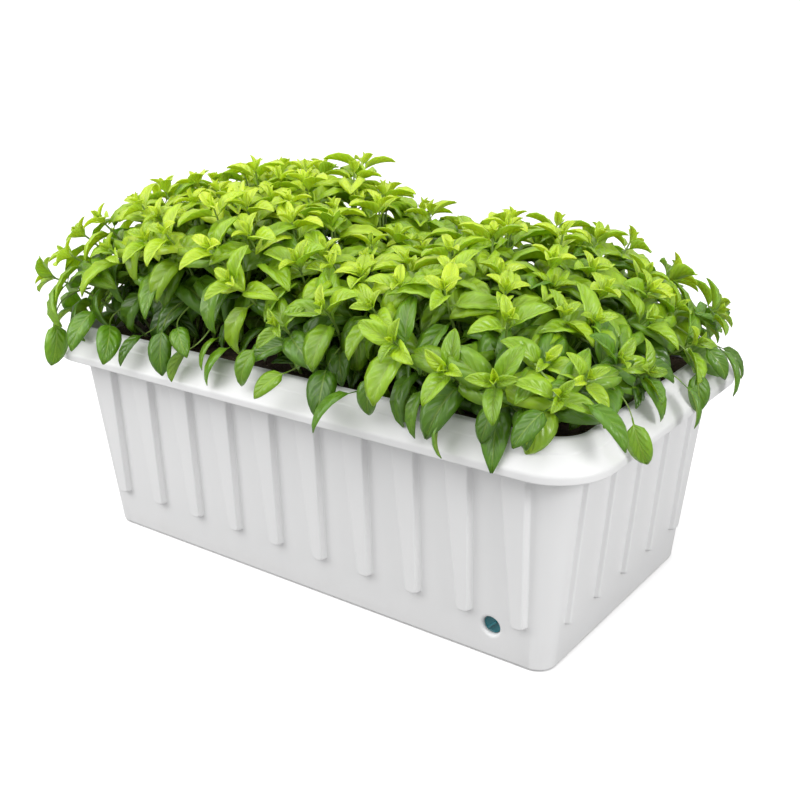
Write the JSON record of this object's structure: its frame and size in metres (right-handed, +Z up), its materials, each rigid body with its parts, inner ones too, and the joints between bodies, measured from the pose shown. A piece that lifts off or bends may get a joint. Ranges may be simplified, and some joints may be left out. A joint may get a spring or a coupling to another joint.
{
  "type": "self watering planter",
  "caption": "Long ribbed planter trough with an out-turned rim, a water reservoir under a perforated platform, a filling tube, a float gauge, a screw-in drain plug and basil plants.",
  "frame": {"origin": "centre of the base, on the surface it stands on", "axes": "+Z up; the long front wall with the drain port faces -Y; +X runs along the trough, towards the end with the port"},
  "size_m": [0.696, 0.408, 0.382],
  "materials": {
    "white_plastic": "satin moulded white with a faint sheen",
    "grey_plastic": "satin moulded grey",
    "dark_grey_plastic": "matte moulded dark grey",
    "clear_plastic": "clear polished tube",
    "red_plastic": "glossy signal red",
    "float_foam": "fine closed-cell foam",
    "teal_plastic": "glossy translucent teal",
    "seal_rubber": "black rubber",
    "potting_mix": "crumbly dark potting mix",
    "basil_leaf": "soft waxy basil leaf"
  },
  "bodies": {
    "planter": {"trough_shell": "white_plastic", "reservoir_platform": "grey_plastic", "platform_leg_1": "dark_grey_plastic", "platform_leg_2": "dark_grey_plastic", "platform_leg_3": "dark_grey_plastic", "platform_leg_4": "dark_grey_plastic", "platform_leg_5": "dark_grey_plastic", "platform_leg_6": "dark_grey_plastic", "wick_basket_left": "dark_grey_plastic", "wick_basket_right": "dark_grey_plastic", "wick_soil_left": "potting_mix", "wick_soil_right": "potting_mix", "potting_mix": "potting_mix", "fill_tube": "white_plastic", "fill_collar": "grey_plastic", "fill_cap_pin": "dark_grey_plastic", "gauge_tube": "clear_plastic", "gauge_cap": "grey_plastic", "basil_plant_1": "basil_leaf", "basil_plant_2": "basil_leaf", "basil_plant_3": "basil_leaf", "basil_plant_4": "basil_leaf", "basil_plant_5": "basil_leaf", "basil_plant_6": "basil_leaf"},
    "fill_cap": {"fill_cap": "grey_plastic"},
    "float": {"float_body": "float_foam", "float_rod": "dark_grey_plastic", "gauge_tip": "red_plastic"},
    "plug_seal": {"plug_o_ring": "seal_rubber"},
    "plug": {"drain_plug": "teal_plastic"}
  },
  "joints": [
    {"name": "fill_cap_hinge", "type": "hinge", "parent": "planter", "child": "fill_cap", "pos_m": [-0.232, 0.1195, 0.234], "axis": [-1, 0, 0], "range_deg": [0, 110]},
    {"name": "gauge_slide", "type": "slide", "parent": "planter", "child": "float", "axis": [0, 0, 1], "range_m": [0, 0.028]},
    {"name": "plug_travel", "type": "slide", "parent": "planter", "child": "plug_seal", "axis": [0, -0.9988, -0.0499], "range_m": [0, 0.0075]},
    {"name": "plug_turn", "type": "hinge", "parent": "plug_seal", "child": "plug", "pos_m": [0.2124, -0.13155, 0.031], "axis": [0, -0.9988, -0.0499], "range_deg": [0, 1080]}
  ],
  "couplings": [
    {"joint": "plug_turn", "follows": "plug_travel", "rad_per_m": 2513.3}
  ]
}
